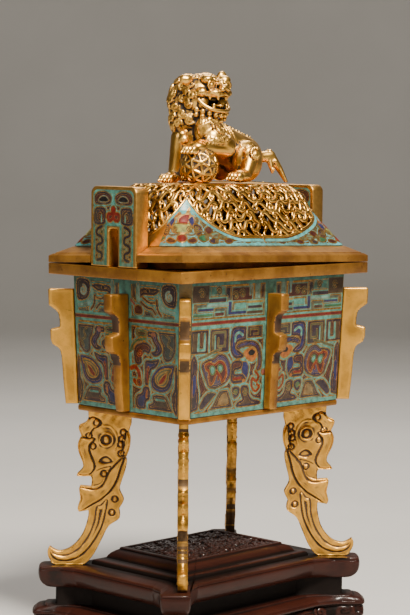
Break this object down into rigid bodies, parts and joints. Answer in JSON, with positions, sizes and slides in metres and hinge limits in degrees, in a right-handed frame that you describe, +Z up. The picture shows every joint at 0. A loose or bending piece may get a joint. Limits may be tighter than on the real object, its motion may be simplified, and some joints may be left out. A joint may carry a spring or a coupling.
{
  "type": "square ding incense burner with cover and stand",
  "caption": "Rectangular enamelled bronze incense burner on flat dragon legs, with flanges, upright ears, a pierced cover with a lion, and a carved wood stand.",
  "frame": {"origin": "middle of the stand's footprint, on the surface it stands on", "axes": "+Z up, X along the vessel's long side with an ear at each end, -Y the long side that the lion looks over"},
  "size_m": [0.2282, 0.171, 0.4394],
  "materials": {
    "gilt": "matt fire-gilt bronze, finely pitted",
    "worn_gilt": "worn brown-gold gilding with dark spots",
    "enamel": "polished cloisonne enamel, turquoise ground with gilt wires",
    "wood": "waxed dark red-brown hardwood, carved"
  },
  "bodies": {
    "root": {"wooden_stand": "wood", "dragon_leg_left": "gilt", "dragon_leg_front": "gilt", "dragon_leg_right": "gilt", "dragon_leg_back": "gilt", "base_plate": "worn_gilt", "vessel_body": "enamel", "corner_flange_left": "gilt", "corner_flange_front": "gilt", "corner_flange_right": "gilt", "corner_flange_back": "gilt", "ear_side_flange_left": "worn_gilt", "ear_side_flange_right": "worn_gilt", "long_side_flange_front": "worn_gilt", "long_side_flange_back": "worn_gilt", "rim_plate": "worn_gilt", "ear_left": "worn_gilt", "ear_right": "worn_gilt", "cover_frame": "worn_gilt", "cover_shell": "enamel", "pierced_dome": "gilt", "lion_finial": "gilt"}
  },
  "joints": []
}
